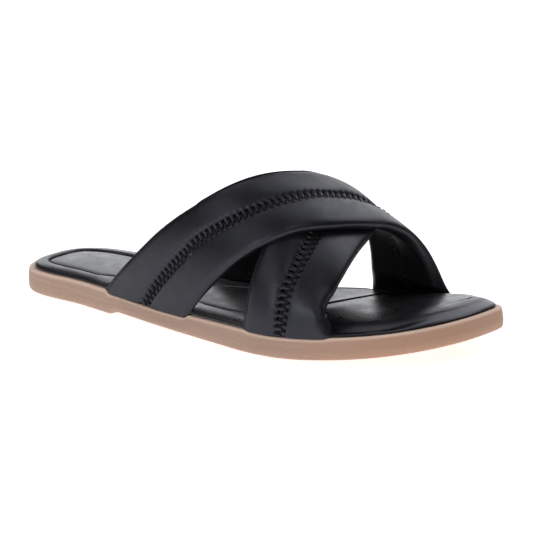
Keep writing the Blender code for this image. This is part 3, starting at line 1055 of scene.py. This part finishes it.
def thread_path(table, lift, deep, rise):
    """Path of the zigzag thread along a strap's seam at a depth, rising from its needle holes by a height."""
    t = even_stations(table, lift)
    line, run, along, front, normal = seam_frame(table, lift, t, deep)
    steps = np.arange(THREAD_END, run[-1] - THREAD_END, STITCH_PITCH / THREAD_STEPS)
    swing = zigzag(steps)
    height = rise * (1 - THREAD_DIVE * ramp(np.abs(swing), *THREAD_DIVE_SPAN))
    at = [np.stack([np.interp(steps, run, v[:, k]) for k in range(3)], axis=1) for v in (line, front, normal)]
    return at[0] + at[1] * (STITCH_SWING * swing)[:, None] + at[2] * height[:, None]


def build_threads(name, material, inside):
    """Zigzag threads of both straps, outside or on the lining."""
    if inside:
        deep, rise = STRAP_THICK * LINING_SIDE[-1][1] - LINING_SINK, -THREAD_RISE
    else:
        deep, rise = REAR_CHANNEL[0][1], THREAD_RISE
    points, faces = [], []
    for table, lift in ((OVER_STRAP, OVER_LIFT), (UNDER_STRAP, 0.0)):
        tube(points, faces, thread_path(table, lift, deep, rise), THREAD_RADIUS)
    return add_piece(name, points, faces, [material])


# Stage: camera and lights by angles in degrees and millimetres, floor and lamp sizes in metres

CAMERA_AZIMUTH = 37.3
CAMERA_ELEVATION = 14.2
CAMERA_DISTANCE = 1300.0
CAMERA_TARGET = (17.51, -4.59, 30.0)
CAMERA_LENS = 185.18
FLOOR_REACH = 8.0
LIGHT_TARGET = (10.0, 0.0, 30.0)
LIGHT_DISTANCE = 2200.0
LIGHT_COLOUR = (0.98, 0.99, 1.0)
LIGHTS = (
    # name, azimuth, elevation, width, height, glow
    ("back_light", 94.0, 44.0, 0.95, 2.10, 2.0),
    ("back_low_light", 124.0, 15.0, 2.00, 1.10, 1.6),
    ("back_toe_light", 56.0, 52.0, 1.00, 1.20, 2.2),
    ("heel_light", 188.0, 57.0, 1.20, 0.90, 1.1),
    ("top_light", 120.0, 82.0, 1.10, 1.10, 1.1),
    ("side_light", 266.0, 16.0, 0.70, 0.60, 4.6),
    ("side_high_light", 241.0, 35.0, 1.20, 1.10, 0.95),
    ("front_high_light", 308.0, 46.0, 0.80, 1.10, 1.5),
)


def build_floor():
    """Wide pale floor under the shoe."""
    mesh = bpy.data.meshes.new("floor")
    reach = FLOOR_REACH
    corners = [(-reach, -reach, 0.0), (reach, -reach, 0.0), (reach, reach, 0.0), (-reach, reach, 0.0)]
    mesh.from_pydata(corners, [], [(0, 1, 2, 3)])
    mesh.materials.append(pale_floor())
    floor = bpy.data.objects.new("floor", mesh)
    bpy.context.scene.collection.objects.link(floor)


def aim(item, place_mm, target_mm):
    """Puts an object at a place and turns it to face a target."""
    where, target = Vector(place_mm) * MM, Vector(target_mm) * MM
    turn = (target - where).to_track_quat("-Z", "Y").to_matrix().to_4x4()
    item.matrix_world = Matrix.Translation(where) @ turn


def add_light(name, azimuth, elevation, width, height, glow):
    """Soft lamp that faces the shoe from a direction in degrees, with a size in metres and a glow."""
    lamp = bpy.data.lights.new(name, "AREA")
    lamp.shape = "RECTANGLE"
    lamp.size = width
    lamp.size_y = height
    lamp.energy = glow * np.pi * width * height
    lamp.color = LIGHT_COLOUR
    item = bpy.data.objects.new(name, lamp)
    bpy.context.scene.collection.objects.link(item)
    a, e = np.radians((azimuth, elevation))
    way = np.array([np.cos(a) * np.cos(e), np.sin(a) * np.cos(e), np.sin(e)])
    aim(item, np.array(LIGHT_TARGET) + LIGHT_DISTANCE * way, LIGHT_TARGET)


def build_lights():
    """Soft studio lights behind, above and beside the shoe, in a nearly dark room."""
    world = bpy.data.worlds.new("studio")
    world.use_nodes = True
    sky = world.node_tree.nodes["Background"]
    sky.inputs["Color"].default_value = (1.0, 1.0, 1.0, 1.0)
    sky.inputs["Strength"].default_value = 0.02
    bpy.context.scene.world = world
    for light in LIGHTS:
        add_light(*light)


def build_camera():
    """Camera at the photograph's angle."""
    camera = bpy.data.objects.new("camera", bpy.data.cameras.new("camera"))
    camera.data.lens = CAMERA_LENS
    camera.data.sensor_width = 36.0
    camera.data.clip_start = 0.01
    camera.data.clip_end = 50.0
    bpy.context.scene.collection.objects.link(camera)
    a, e = np.radians((CAMERA_AZIMUTH, CAMERA_ELEVATION))
    back = np.array([np.sin(a) * np.cos(e), -np.cos(a) * np.cos(e), np.sin(e)])
    aim(camera, np.array(CAMERA_TARGET) + CAMERA_DISTANCE * back, CAMERA_TARGET)
    bpy.context.scene.camera = camera


build_outsole()
build_footbed()
strap_materials = [strap_leather(), strap_lining()]
build_strap("under", UNDER_STRAP, 0.0, strap_materials)
build_strap("over", OVER_STRAP, OVER_LIFT, strap_materials)
black_thread = thread()
build_threads("zigzag_thread", black_thread, False)
build_threads("lining_thread", strap_materials[1], True)
build_pad_stitches(black_thread)
build_floor()
build_lights()
build_camera()
bpy.context.scene.view_settings.view_transform = "Standard"
